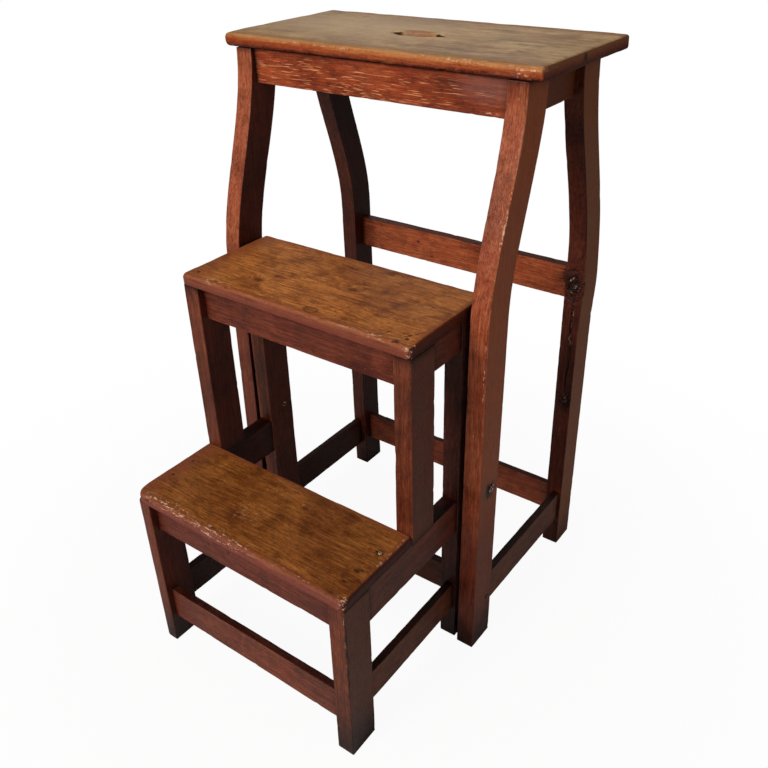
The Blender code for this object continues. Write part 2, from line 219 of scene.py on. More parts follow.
def painted(finish, name):
    return plant(finish.node_tree, "Attribute", {}, attribute_name=name).outputs["Fac"]


def split(place):
    return plant(place.id_data, "SeparateXYZ", {0: place}).outputs


def join(*parts):
    return plant(parts[0].id_data, "CombineXYZ", dict(enumerate(parts))).outputs[0]


def ramp(value, *stops):
    node = plant(value.id_data, "ValToRGB", {0: value})
    keys = node.color_ramp.elements
    while len(keys) < len(stops):
        keys.new(1.0)
    for key, (place, tone) in zip(keys, stops):
        key.position = place
        key.color = tone
    return node.outputs[0]


def speckle(place, scale, detail, roughness=0.5):
    inputs = {"Vector": place, "Scale": scale, "Detail": detail, "Roughness": roughness}
    return plant(place.id_data, "TexNoise", inputs).outputs[0]


def streaks(place, length, width, detail, roughness=0.55):
    """Noise drawn out along the grain, with streaks about that long and wide."""
    return speckle(vector("MULTIPLY", place, (1 / length, 1 / width, 1 / width)), 1.0, detail, roughness)


def distance(place, centre, reach):
    """Distance from centre, counted in reaches, which may differ along x, y and z."""
    moved = vector("SUBTRACT", place, centre)
    return vector("LENGTH", vector("MULTIPLY", moved, [1 / part for part in reach]))


def lay_over(finish, share, tone, blend_type="MIX"):
    """Lays a tone over a finish, where share is 1."""
    base = finish.node_tree.nodes["Principled BSDF"].inputs["Base Color"]
    inputs = {0: share, 6: base.links[0].from_socket, 7: tone}
    mixed = plant(finish.node_tree, "Mix", inputs, data_type="RGBA", blend_type=blend_type)
    finish.node_tree.links.new(mixed.outputs[2], base)


def tint(finish, share, *tone):
    """Multiplies a finish by a tone, where share is 1."""
    lay_over(finish, share, (*tone, 1), "MULTIPLY")


def marks(*rows, origin=(0, 0, 0)):
    """Places on a piece, each as its centre, its reach and its strength.

    A row gives the centre from the origin and the reach, along x, y and z and in
    millimetres, and then the strength.
    """
    spots = []
    for row in rows:
        centre = [start + part / 1000 for start, part in zip(origin, row)]
        spots.append((centre, [part / 1000 for part in row[3:6]], row[6]))
    return spots


def oak(
    name, grain, tones, rough=0.44, ring=0.35, line=0.11, cloud=0.15, mottle=0.6, flecks=(), knots=(),
    stains_and_shadows=(), rubs_and_glints=(), rim=None, skirt=None, inner=0.30,
):
    """Stained oak whose fibres run along the grain axis.

    tones are the deep, body and pale colours of the grain and the colour of worn edges.
    Knots, stains, rubs and flecks are marks: the fibres swerve round a knot by its strength. Some of the
    stains are painted shadows and some of the rubs painted glints.
    ring is the share of the broad growth rings, line the length of the fine lines, cloud the
    share of soft clouds among them and mottle the strength of the redder blotches. rim is the
    colour near a board's outline, and on an upright's outer side it is a painted side shading;
    skirt is (bottom, top, low tone, mid tone, high tone) for the upright faces of a board. A
    piece's attributes say where these lie: edge is 1 on an arris, rim near the outline and on
    outer sides, skirt on upright faces, dirt on soil, knots, cracks and dark lines and as painted
    shade in joints, corners and under the board, inner on end grain, which takes more stain, and
    on undersides and sides that face into the stool, where its darkening is painted shade, and
    scuff where the finish is scraped off and where glints are painted.
    """
    deep, body, pale, worn = [srgb(*tone) for tone in tones]
    finish, shader = new_finish(name)
    place = place_in(finish)
    parts = split(place)
    along, across, through = [parts[i] for i in {"X": (0, 1, 2), "Y": (1, 0, 2), "Z": (2, 0, 1)}[grain]]

    wander = streaks(join(along, across, through), 0.20, 0.05, 1.0)
    swerve = times(figure("SUBTRACT", wander, 0.5), 0.018)
    eyes = []
    for centre, reach, push in knots:
        away = distance(place, centre, reach)
        hill = figure("EXPONENT", times(figure("POWER", away, 2.0), -1.0))
        swerve = plus(swerve, times(hill, push))
        eyes.append(between(away, 0.9, 0.15))
    fibre_place = join(along, plus(across, swerve), plus(through, times(swerve, 0.6)))

    rings = streaks(fibre_place, 0.26, 0.0085, 2.0)
    dashes = streaks(fibre_place, 0.019, 0.0036, 4.0, 0.65)
    fibres = streaks(fibre_place, line, 0.0017, 3.0, 0.65)
    pores = between(streaks(fibre_place, 0.0110, 0.0011, 1.0), 0.60, 0.70)
    grooves = streaks(fibre_place, 0.070, 0.0011, 2.0)
    rub = streaks(fibre_place, 0.014, 0.0026, 4.0, 0.7)
    patches = speckle(place, 13.0, 4.0)
    blotches = speckle(place, 34.0, 5.0, 0.6)
    crumbs = speckle(place, 260.0, 3.0, 0.6)

    grain_mix = times(blotches, cloud)
    for pattern, share in ((rings, ring), (fibres, 0.35), (dashes, 0.65 - ring)):
        grain_mix = plus(grain_mix, times(pattern, share * (1 - cloud)))
    grain_mix = wavering(grain_mix, (crumbs, 0.16))
    plug(shader, {"Base Color": ramp(grain_mix, (0.39, deep), (0.50, body), (0.60, pale))})
    tint(finish, between(patches, 0.60, 0.34), 0.68, 0.60, 0.56)
    tint(finish, times(between(blotches, 0.50, 0.66), mottle), 0.72, 0.48, 0.42)
    tint(finish, times(between(blotches, 0.48, 0.34), mottle), 0.70, 0.74, 0.66)
    tint(finish, times(pores, 0.65), 0.34, 0.26, 0.22)
    tint(finish, times(between(grooves, 0.53, 0.60), 0.42), 0.38, 0.30, 0.27)
    # Pale streaks beside the grooves are painted glints.
    tint(finish, times(between(grooves, 0.47, 0.39), 0.30), 1.55, 1.50, 1.45)
    for centre, reach, strength in flecks:
        ray = times(between(streaks(fibre_place, 0.026, 0.0011, 1.0), 0.58, 0.68), strength)
        zone = between(wavering(distance(place, centre, reach), (blotches, 1.2)), 1.2, 0.6)
        lay_over(finish, times(ray, zone), srgb(214, 142, 96))
    if eyes:
        eye = eyes[0] if len(eyes) == 1 else figure("MAXIMUM", *eyes)
        tint(finish, times(eye, 0.8), 0.26, 0.19, 0.17)
    # On an upright's outer side the rim colour is a painted side shading.
    if rim:
        spread = wavering(painted(finish, "rim"), (patches, 1.0), (blotches, 0.9))
        lay_over(finish, times(between(spread, 0.25, 0.85), 0.75), srgb(*rim))
    if skirt:
        bottom, top, *skirt_tones = skirt
        height = plant(finish.node_tree, "MapRange", {0: parts[2], 1: bottom, 2: top}).outputs[0]
        height = wavering(height, (fibres, 0.9), (dashes, 0.7), (crumbs, 0.3))
        face = ramp(height, *zip((0.12, 0.52, 0.92), [srgb(*tone) for tone in skirt_tones]))
        lay_over(finish, between(painted(finish, "skirt"), 0.2, 0.8), face)
    # Dark stains, and painted shadows beside the pivot pin and the front left leg.
    for centre, reach, strength in stains_and_shadows:
        spread = wavering(distance(place, centre, reach), (fibres, 1.6), (crumbs, 1.0))
        tint(finish, times(between(spread, 1.1, 0.45), strength), 0.13, 0.08, 0.06)
    # Sides that face into the stool and undersides are darkened here as painted shade, end grain as stain.
    inside = painted(finish, "inner")
    tint(finish, inside, inner, inner * 0.66, inner * 0.58)
    # Soil, knots, cracks and dark lines, and painted shade in joints, corners and under the board.
    soil_and_shade = wavering(painted(finish, "dirt_and_shade"), (blotches, 0.9))
    tint(finish, between(soil_and_shade, 0.05, 1.1), 0.20, 0.14, 0.12)

    edge = painted(finish, "edge")
    # A dark line along the arrises.
    dark_arris = between(wavering(edge, (rub, 1.2)), 0.80, 1.15)
    tint(finish, times(dark_arris, 0.55), 0.30, 0.20, 0.17)
    handled = between(wavering(edge, (patches, 2.4), (rub, 1.5)), 0.85, 1.35)
    outside = figure("SUBTRACT", 1.0, times(inside, 0.8))
    lay_over(finish, times(times(handled, WEAR), outside), worn)
    # Pale rubbed patches; on the legs they are painted glints.
    for centre, reach, strength in rubs_and_glints:
        fade = between(distance(place, centre, reach), 1.0, 0.35)
        scrape_and_glint = times(fade, between(wavering(rub, (crumbs, 0.5)), 0.54, 0.66))
        lay_over(finish, times(scrape_and_glint, strength), srgb(236, 196, 164))
    # Finish scraped off, and painted glints on a knot's crests, beside a crack and along an arris.
    scraped_and_glint = wavering(painted(finish, "scuff_and_glint"), (rub, 1.6), (crumbs, 1.4))
    lay_over(finish, between(scraped_and_glint, 0.45, 0.95), srgb(228, 184, 152))

    gloss = wavering(rough, (patches, 0.30), (crumbs, 0.25))
    relief = wavering(times(pores, -0.35), (fibres, 0.7), (rub, 0.6), (crumbs, 0.45), (grooves, -0.8))
    relief = plus(relief, times(edge, plus(times(rub, 2.6), times(crumbs, 1.6))))
    bump = plant(finish.node_tree, "Bump", {"Height": relief, "Strength": 0.7, "Distance": 0.0006})
    plug(shader, {"Roughness": gloss, "Specular IOR Level": 0.20, "Normal": bump.outputs[0]})
    return finish


def enter(mode):
    bpy.ops.object.mode_set(mode=mode)


def start_block(name, low, high):
    """A cube that fills the box, in edit mode, with its place in its mesh."""
    centre = [(a + b) / 2 for a, b in zip(low, high)]
    bpy.ops.mesh.primitive_cube_add(size=1, location=centre)
    piece = bpy.context.object
    piece.name = name
    piece.data.name = name
    bpy.ops.object.transform_apply(location=True)
    enter("EDIT")
    size = [b - a for a, b in zip(low, high)]
    bpy.ops.transform.resize(value=size, center_override=centre)
    return piece


def choose(piece, kind, test):
    """In edit mode, selects the faces or edges that pass the test, and nothing else."""
    bpy.ops.mesh.select_mode(type={"faces": "FACE", "edges": "EDGE"}[kind])
    bpy.ops.mesh.select_all(action="DESELECT")
    shape = bmesh.from_edit_mesh(piece.data)
    shape.normal_update()
    for part in getattr(shape, kind):
        if test(part):
            part.select_set(True)
    bmesh.update_edit_mesh(piece.data)


def sharp(edge):
    return edge.calc_face_angle(0) > 1


def least(edge, axis):
    return min(vertex.co[axis] for vertex in edge.verts)


def most(edge, axis):
    return max(vertex.co[axis] for vertex in edge.verts)


def run_of(edge, axis):
    return most(edge, axis) - least(edge, axis)


def bevel(piece, offset, segments, test, **settings):
    """In edit mode, rounds the edges that pass the test."""
    choose(piece, "edges", test)
    bpy.ops.mesh.bevel(offset=offset, segments=segments, affect="EDGES", **settings)


def pull(*way):
    """In edit mode, extrudes what is chosen that way."""
    bpy.ops.mesh.extrude_region_move(TRANSFORM_OT_translate={"value": way})


def finish_modifier(piece, kind, **settings):
    """Adds a modifier and applies it at once."""
    bpy.context.view_layer.objects.active = piece
    modifier = piece.modifiers.new(kind.lower(), kind)
    for name, value in settings.items():
        setattr(modifier, name, value)
    bpy.ops.object.modifier_apply(modifier=modifier.name)


def clouds(name, size, depth=2, light=0.52):
    """Cloud texture that is white over most of a surface and dark in rare spots."""
    texture = bpy.data.textures.new(name, "CLOUDS")
    texture.noise_scale = size
    texture.noise_depth = depth
    texture.use_color_ramp = True
    dark_key, light_key = texture.color_ramp.elements
    dark_key.position = light - 0.24
    dark_key.color = (0, 0, 0, 1)
    light_key.position = light
    return texture


def box_edge(low, high, reach, parts=(0, 1, 2)):
    """A function that is 1 on the edges of a box and 0 at a distance of reach from them."""
    def nearness(co):
        gaps = sorted(max(min(co[i] - low[i], high[i] - co[i]), 0.0) for i in parts)
        return max(1 - math.hypot(gaps[0], gaps[1]) / reach, 0.0)
    return nearness


def paint(piece, name, value_at):
    layer = piece.data.attributes.new(name, "FLOAT", "POINT")
    for vertex, slot in zip(piece.data.vertices, layer.data):
        slot.value = value_at(vertex)


def faces_out(vertex, way=1):
    """1 where a vertex's surface faces away from the middle of the stool, across it."""
    side = way if vertex.co.x > 0 else -way
    return clamp((vertex.normal.x * side - 0.4) / 0.4)


def faces_in(vertex):
    """1 where a vertex's surface faces the middle of the stool, across it."""
    return faces_out(vertex, -1)


def set_on(piece, node, body, finish):
    """Finishes a piece: gives it its material and its body, and hides the solid it stands for."""
    piece.data.materials.clear()
    piece.data.materials.append(finish)
    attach(piece, body)
    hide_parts(node)


def wear_down(piece, edge_at, bite, bite_size, dent, dent_size):
    """Presses shallow dents into a surface and bites into its edges, always inwards."""
    group = piece.vertex_groups.new(name="worn_edges")
    for vertex in piece.data.vertices:
        weight = edge_at(vertex.co)
        if weight > 0:
            group.add([vertex.index], min(weight, 1.0), "REPLACE")
    dents = clouds(piece.name + "_dents", dent_size)
    finish_modifier(piece, "DISPLACE", texture=dents, strength=dent, mid_level=1.0)
    bites = clouds(piece.name + "_bites", bite_size, 3, 0.40)
    finish_modifier(
        piece, "DISPLACE", texture=bites, strength=bite, mid_level=1.0, vertex_group="worn_edges"
    )
    piece.vertex_groups.clear()


board_low, board_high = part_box("stool_top_board")
hand_y = (board_low.y + board_high.y) / 2 - HAND_LEAD
bpy.ops.mesh.primitive_circle_add(
    vertices=64, radius=HAND_LENGTH / 2, fill_type="NGON", location=(HAND_X, hand_y, board_low.z - 0.01)
)
hand_cutter = bpy.context.object
bpy.ops.object.transform_apply(location=True)
for vertex in hand_cutter.data.vertices:
    t = (vertex.co.x - HAND_X) / (HAND_LENGTH / 2)
    side = (vertex.co.y - hand_y) / (HAND_LENGTH / 2)
    bracket = math.copysign((1 - t * t) if abs(t) < 1 else 0, side) * HAND_WIDTH / 2
    if side < 0:
        bracket += HAND_CUSP * bell(t, 0.2)
    vertex.co.y = hand_y + bracket
enter("EDIT")
bpy.ops.mesh.select_all(action="SELECT")
pull(0, 0, 0.04)
bpy.ops.mesh.select_all(action="SELECT")
bpy.ops.mesh.normals_make_consistent(inside=False)
enter("OBJECT")


def is_front_arris(edge):
    return sharp(edge) and run_of(edge, 2) < TOUCH and most(edge, 1) < board_low.y + BOARD_CORNER + TOUCH


def is_other_arris(edge):
    return sharp(edge) and run_of(edge, 2) < TOUCH and least(edge, 1) > board_low.y + BOARD_CORNER - TOUCH


def is_hand_arris(edge):
    near = all(
        abs(vertex.co.y - hand_y) < HAND_WIDTH and abs(vertex.co.x - HAND_X) < HAND_LENGTH * 0.6
        for vertex in edge.verts
    )
    return sharp(edge) and near and run_of(edge, 2) < 0.001


top_board = start_block("top_board", board_low, board_high)
bevel(top_board, BOARD_CORNER, 4, lambda e: run_of(e, 2) > 0.01)
bevel(top_board, BOARD_NOSE, 5, is_front_arris)
bevel(top_board, BOARD_END, 3, is_other_arris)
enter("OBJECT")
finish_modifier(top_board, "BOOLEAN", object=hand_cutter, operation="DIFFERENCE", solver="EXACT")
bpy.data.objects.remove(hand_cutter)
enter("EDIT")
bevel(top_board, HAND_RIM, 3, is_hand_arris, clamp_overlap=True)
enter("OBJECT")
finish_modifier(top_board, "REMESH", mode="VOXEL", voxel_size=BOARD_VOXEL)
wear_down(top_board, lambda co: max(1 - (co.y - board_low.y) / 0.012, 0.0), 0.0022, 0.010, 0.0005, 0.045)
finish_modifier(top_board, "SMOOTH", factor=0.5, iterations=1)
bpy.ops.object.shade_smooth()


def hand_ring(co):
    """1 on the outline of the hand-hold, less inside it and more outside."""
    return math.hypot((co.x - HAND_X) / (HAND_LENGTH / 2), (co.y - hand_y) / (HAND_WIDTH / 2))


def skirt_at(vertex):
    """1 on the upright faces and the underside of a board, fading out over its upper arrises."""
    return clamp((0.80 - vertex.normal.z) / 0.45) if vertex.normal.z > -0.7 else 1.0


def board_skirt(vertex):
    return 0.0 if hand_ring(vertex.co) < 1.4 else skirt_at(vertex)


def hand_wear_and_light(vertex):
    """The walls and the rim of the hand-hold are rubbed bare, with painted light on the far wall, but not
    at its ends.
    """
    ring = hand_ring(vertex.co)
    if ring > 1.45:
        return 0.0
    return bell(vertex.co.x - HAND_X + 0.008, 0.022, 4) * clamp(1.5 - abs(ring - 1.0) / 0.25)


def hand_dark(vertex):
    """The walls at both ends of the hand-hold are darkened."""
    if hand_ring(vertex.co) > 1.12 or vertex.normal.z > 0.75:
        return 0.0
    return 1.0 - 0.95 * bell(vertex.co.x - HAND_X + 0.007, 0.022, 6)


def board_inner(vertex):
    """The underside, darkened as painted shade, and the end grain of both ends, which drank more stain."""
    if vertex.normal.z < -0.7:
        return 1.0
    return 0.75 * clamp((abs(vertex.normal.x) - 0.35) / 0.4) if hand_ring(vertex.co) > 1.4 else 0.0


end_edge = box_edge(board_low, board_high, 0.006, (0, 2))
nosing_edge = box_edge(board_low, board_high, 0.009, (1, 2))
outline = box_edge(board_low, board_high, 0.034, (1, 2))
paint(top_board, "edge", lambda v: max(0.7 * end_edge(v.co), 0.95 * nosing_edge(v.co)))
paint(top_board, "bare", hand_wear_and_light)
paint(top_board, "dirt_and_shade", hand_dark)
paint(top_board, "rim", lambda v: outline(v.co))
paint(top_board, "skirt", board_skirt)
paint(top_board, "inner", board_inner)
top_finish = oak(
    "greyed_top_oak",
    "X",
    ((164, 130, 86), (203, 167, 121), (222, 190, 144), (190, 146, 98)),
    rough=0.42,
    cloud=0.2,
    mottle=0.45,
    rim=(158, 108, 64),
    # The front edge runs from near-black below to orange above: stain, with painted shade below and a
    # painted highlight above.
    skirt=(0.7340, 0.7495, (84, 28, 16), (156, 74, 32), (184, 124, 68)),
    inner=0.24,
    stains_and_shadows=marks(
        (150, 118, 0, 22, 2, 4, 0.8),
        (105, 60, 0, 28, 1.4, 4, 0.75),
        (126, 88, 0, 20, 3, 4, 0.5),
        (160, 85, 0, 10, 3, 4, 0.6),
        (185, 140, 0, 16, 2.5, 4, 0.6),
        (-165, 95, 0, 7, 3, 4, 0.6),
        (-130, 205, 0, 12, 3, 4, 0.6),
        (215, 120, -6, 4, 5, 5, 0.9),
        origin=(0, 0, BOARD_TOP),
    ),
    rubs_and_glints=marks(
        (208, 30, -3, 14, 10, 6, 1.0),
        (190, 28, -9, 12, 10, 6, 0.8),
        (120, 28, -3, 90, 8, 3, 0.45),
        (-80, 28, -4, 110, 8, 3, 0.35),
        origin=(0, 0, BOARD_TOP),
    )
    + marks(
        (-16, -17, 0, 10, 4.5, 4, 1.2),
        (-14, 13, -1, 14, 4, 4, 0.7),
        (33, -3, -1, 4.5, 6, 5, 1.3),
        origin=(HAND_X, hand_y, BOARD_TOP),
    ),
)
top_place = place_in(top_finish)
# A broad painted sheen on the top's left and middle.
painted_sheen = between(distance(top_place, (-0.10, 0.14, BOARD_TOP), (0.20, 0.10, 0.004)), 1.1, 0.2)
lay_over(top_finish, times(painted_sheen, 0.5), srgb(222, 190, 148))
left_end = between(split(top_place)[0], 0.02, -0.17)
tint(top_finish, times(left_end, painted(top_finish, "skirt")), 0.80, 0.60, 0.48)
# Rubbed-bare walls of the hand-hold, with painted light on the middle of its far wall.
lay_over(top_finish, times(painted(top_finish, "bare"), 0.75), srgb(132, 82, 58))
tint(top_finish, between(painted(top_finish, "dirt_and_shade"), 0.40, 0.85), 0.16, 0.10, 0.08)
set_on(top_board, "stool_top_board", "stool", top_finish)

# Aprons of the stool. Straight-grained oak rails between the leg tops,
# the front one quarter-sawn, so that pale rays flash across its face.
STICK_CELL = 0.0055
STICK_DENT = 0.00025
TENON = 0.0015


def foot_dirt(height):
    """Soil rubbed into the foot of a leg, most at the floor."""
    return 1.25 * max(1 - height / 0.095, 0.0)


def stick(name, node, grain, ease=0.0011, bite=0.0009, corner=0.0):
    """A sawn and eased length of oak that fills a solid's box.

    Its ends run on as tenons into what they meet, except at the floor and at the top of
    an upright, and corner rounds its front left arris.
    """
    low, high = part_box(node)
    run = "XYZ".index(grain)
    standing = grain == "Z" and low.z < 0.001
    low[run] -= 0.0 if standing else TENON
    high[run] += 0.0 if grain == "Z" else TENON
    piece = start_block(name, low, high)
    if corner:
        bevel(piece, corner, 5, lambda e: all((v.co.xy - low.xy).length < TOUCH for v in e.verts))
    for axis in range(3):
        length = high[axis] - low[axis]
        cuts = round(length / STICK_CELL) - 1
        if cuts > 0:
            choose(piece, "edges", lambda e: run_of(e, axis) > length * 0.6)
            bpy.ops.mesh.subdivide(number_cuts=cuts)
    bevel(piece, ease, 3, sharp)
    enter("OBJECT")
    sides = [axis for axis in range(3) if axis != run]
    wear_down(piece, box_edge(low, high, 0.005, sides), bite, 0.012, STICK_DENT, 0.045)
    bpy.ops.object.shade_smooth()
    arris = box_edge(low, high, 0.0042, sides)

    def dirt_and_shade(vertex):
        """Soil on the feet, painted shade in the joints, and darkening on the narrow upper faces."""
        if standing:
            return foot_dirt(vertex.co.z)
        ends = min(vertex.co[run] - low[run], high[run] - vertex.co[run]) - TENON
        dust = 0.9 * clamp((vertex.normal.z - 0.6) / 0.3)
        return max(math.exp(-max(ends, 0.0) / 0.007), dust)

    paint(piece, "edge", lambda v: arris(v.co))
    # Sides that face into the stool are darkened as painted shade.
    paint(piece, "inner", faces_in)
    # Outward sides take the rim colour as painted side shading.
    paint(piece, "rim", faces_out)
    paint(piece, "dirt_and_shade", dirt_and_shade)
    return piece


apron_finish = oak(
    "rayed_apron_oak",
    "X",
    ((104, 40, 18), (138, 58, 26), (158, 74, 36), (190, 104, 66)),
    flecks=marks((-50, 30, 708, 200, 30, 21, 0.8)),
    # A painted shadow of the front left leg along the apron's left end.
    stains_and_shadows=marks((-175.5, 34, 708, 5, 20, 60, 1.0)),
    rubs_and_glints=marks((150, 34, 697, 16, 6, 3, 0.8)),
)
# A painted reflection at the right end of the front apron.
apron_sheen_away = distance(place_in(apron_finish), (0.150, 0.034, 0.722), (0.050, 0.020, 0.022))
lay_over(apron_finish, times(between(apron_sheen_away, 1.1, 0.2), 0.35), srgb(146, 98, 88))
dark_side_finish = oak(
    "dark_side_oak", "Y", ((70, 36, 20), (90, 48, 27), (104, 58, 34), (130, 82, 54)), rim=(96, 50, 27)
)
for name, node, grain, finish in (
    ("front_apron", "stool_apron_front", "X", apron_finish),
    ("back_apron", "stool_apron_back", "X", apron_finish),
    ("side_apron_left", "stool_apron_left", "Y", dark_side_finish),
    ("side_apron_right", "stool_apron_right", "Y", dark_side_finish),
):
    set_on(stick(name, node, grain, 0.0009), node, "stool", finish)

# Bowed legs. Each is sawn from one board: straight from the floor to the
# top of the step unit, then swept in to the board in a long double curve.
FRONT = frame["record"]["behaviour"]["joints"][0]["pos_m"][1] - 0.2563
BOW_START = 0.479
BOW_LENGTH = 0.255
BOWS = {
    "front": {"foot": FRONT + 0.2465, "lean": 0.0075, "bow": 0.0575, "depth": 0.044},
    "back": {"foot": FRONT + 0.49997, "lean": -0.006, "bow": -0.056, "depth": 0.040},
}
BOW_SLICES = 42
KNOT_SWELL = 0.10
LEG_CELL = 0.0052
LEG_FIRST = 0.006


def bow_middle(bow, z):
    """Middle of a bowed leg, from front to back, at height z."""
    t = clamp((z - BOW_START) / BOW_LENGTH)
    return bow["foot"] + bow["lean"] * min(z / BOW_START, 1.0) + bow["bow"] * t * t * (3 - 2 * t)


def bowed_leg(name, node, bow):
    low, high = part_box(node)
    middle = bow_middle(bow, 0.0)
    half = bow["depth"] / 2
    piece = start_block(name, (low.x, middle - half, low.z), (high.x, middle + half, low.z + LEG_FIRST))
    for axis, size, cells in ((0, high.x - low.x, 5), (1, 2 * half, 8)):
        choose(piece, "edges", lambda e: run_of(e, axis) > size * 0.9)
        bpy.ops.mesh.subdivide(number_cuts=cells - 1)
    choose(piece, "faces", lambda f: f.normal.z > 0.9)
    straight = round(BOW_START / LEG_CELL)
    levels = [BOW_START * (i + 1) / straight for i in range(1, straight)]
    levels += [BOW_START + (high.z - BOW_START) * (i + 1) / BOW_SLICES for i in range(BOW_SLICES)]
    at = LEG_FIRST
    for level in levels:
        new_middle = bow_middle(bow, level)
        pull(0, new_middle - middle, level - at)
        middle, at = new_middle, level
    bevel(piece, 0.0012, 3, sharp)
    enter("OBJECT")

    def nearness(co, reach):
        side = max(min(co.x - low.x, high.x - co.x), 0.0)
        face = max(half - abs(co.y - bow_middle(bow, co.z)), 0.0)
        return max(1 - math.hypot(side, face) / reach, 0.0)

    def scuff_and_glint(vertex):
        """The front right leg's outer front arris is splintered where the leg starts to bow, with a
        painted glint along it.
        """
        co = vertex.co
        if name != "bowed_leg_front_right" or vertex.normal.y > -0.3:
            return 0.0
        nearly = max(1 - (high.x - co.x) / 0.0110, 0.0)
        return nearly * (0.70 * bell(co.z - 0.588, 0.024) + 0.34 * bell(co.z - 0.65, 0.05))

    def dirt_and_shade(vertex):
        """Soil on the foot, painted shade under the board, and a dark split along the back right leg's
        arris.
        """
        co = vertex.co
        crack = 0.0
        if name == "bowed_leg_back_right" and high.x - co.x < 0.0012 and vertex.normal.y < -0.2:
            crack = 0.9 * bell(co.z - 0.58, 0.12, 4)
        foot = foot_dirt(co.z) * (0.5 if "back" in name else 1.0)
        return max(foot, math.exp((co.z - high.z) / 0.007), crack)

    wear_down(piece, lambda co: nearness(co, 0.005), 0.0009, 0.014, 0.00022, 0.055)
    bpy.ops.object.shade_smooth()
    paint(piece, "edge", lambda v: nearness(v.co, 0.0042))
    # Sides that face into the stool are darkened as painted shade.
    paint(piece, "inner", faces_in)
    # Outward sides take the rim colour as painted side shading.
    paint(piece, "rim", faces_out)
    paint(piece, "scuff_and_glint", scuff_and_glint)
    paint(piece, "dirt_and_shade", dirt_and_shade)
    return piece


def gnarl(piece, knots, crack):
    """Carves knots, each (centre, radius), and a crack between two heights into a leg's front face.

    The wood swells round the first knot, which makes the leg wider there.
    """
    crack_x, crack_low, crack_high = crack
    bpy.ops.object.select_all(action="DESELECT")
    piece.select_set(True)
    bpy.context.view_layer.objects.active = piece
    enter("EDIT")
    bottom, top = crack_low - 0.03, crack_high + 0.05
    choose(piece, "faces", lambda f: f.normal.y < -0.8 and bottom < f.calc_center_median().z < top)
    bpy.ops.mesh.subdivide(number_cuts=5)
    enter("OBJECT")
    layers = {name: piece.data.attributes[name].data for name in ("dirt_and_shade", "scuff_and_glint")}
    inner_side = min(vertex.co.x for vertex in piece.data.vertices)
    swell_z = knots[0][0][1]

    def raise_to(name, vertex, value):
        slot = layers[name][vertex.index]
        slot.value = max(slot.value, value)

    for vertex in piece.data.vertices:
        co = vertex.co
        place = co.copy()
        co.x += (co.x - inner_side) * KNOT_SWELL * bell(co.z - swell_z, 0.040)
        if vertex.normal.y > -0.5:
            continue
        for (x, z), radius in knots:
            warp = noise.noise(place * 110) * 0.5
            reach = math.hypot(place.x - x, (place.z - z) * 0.66) / radius + warp
            around = math.atan2(place.z - z, place.x - x)
            whorl = 0.5 + 0.5 * math.sin(20 * reach + around + 6 * noise.noise(place * 130))
            rough = 0.5 + noise.noise(place * 420)
            hollow = bell(max(reach, 0.0), 0.92, 4)
            lip = bell(reach - 1.05, 0.22)
            co.y += hollow * (0.0006 + 0.0020 * whorl + 0.0012 * rough) - 0.0009 * lip
            # The knot's whorls are darkened, as its own colour and as painted shade in its hollows.
            raise_to("dirt_and_shade", vertex, hollow * (0.15 + 0.85 * whorl))
            # Painted glints on the crests of the knot's whorls.
            raise_to("scuff_and_glint", vertex, hollow * (0.54 - 0.8 * whorl) * (0.4 + rough))
        if crack_low < place.z < crack_high:
            line = crack_x + 0.0018 * math.sin(place.z * 60) + 0.0012 * noise.noise(place * 90)
            ends = min(min(place.z - crack_low, crack_high - place.z) / 0.02, 1.0)
            depth = bell(place.x - line, 0.0013) * ends
            co.y += 0.0030 * depth
            raise_to("dirt_and_shade", vertex, depth)
            # A painted glint along the torn side of the crack.
            torn = bell(place.x - line - 0.0028, 0.0009) * ends
            raise_to("scuff_and_glint", vertex, 0.55 * torn * (0.5 + noise.noise(place * 60)))


front_leg_finish = oak(
    "front_leg_oak",
    "Z",
    ((130, 58, 31), (155, 80, 50), (171, 98, 67), (214, 150, 118)),
    ring=0.2,
    line=0.25,
    rim=(132, 68, 34),
    inner=0.25,
    stains_and_shadows=marks(
        # The first two marks are a painted shadow round the pivot pin's head.
        (199, -6.5, 255.5, 6, 15, 14, 1.0),
        (199, -6.5, 255.5, 6, 11, 10, 0.9),
        (199, -1, 69, 4, 5, 6, 0.9),
        (199, 0.5, 75, 4, 1.8, 90, 0.35),
    ),
    # These pale marks on the front right leg are painted glints.
    rubs_and_glints=marks((196.5, -29, 425, 2.4, 8, 60, 0.6), (186, -29, 330, 1.8, 8, 30, 0.35)),
)
leg_parts = split(place_in(front_leg_finish))
# The front legs darken towards the bottom, partly soil and partly painted shade.
tint(front_leg_finish, between(leg_parts[2], 0.32, 0.14), 0.60, 0.46, 0.42)
shaded = times(between(leg_parts[2], 0.50, 0.44), between(leg_parts[0], 0.0, -0.1))
tint(front_leg_finish, shaded, 0.56, 0.52, 0.62)
back_leg_finish = oak(
    "back_leg_oak",
    "Z",
    ((60, 21, 11), (82, 33, 19), (100, 46, 27), (136, 82, 60)),
    ring=0.25,
    line=0.25,
    rim=(124, 70, 36),
    inner=0.40,
    knots=marks((186, 216, 444, 16, 16, 22, 0.03), (191, 216, 260, 9, 16, 13, 0.02)),
    stains_and_shadows=marks(
        (186, 213, 446, 20, 12, 30, 0.45),
        (189, 213, 264, 11, 12, 18, 0.5),
        (187.5, 213, 350, 2.2, 12, 90, 0.8),
    ),
    # Painted highlights on the small knot and beside the crack.
    rubs_and_glints=marks((189, 213, 380, 4, 12, 50, 0.5), (190, 213, 268, 6, 12, 12, 0.6)),
)
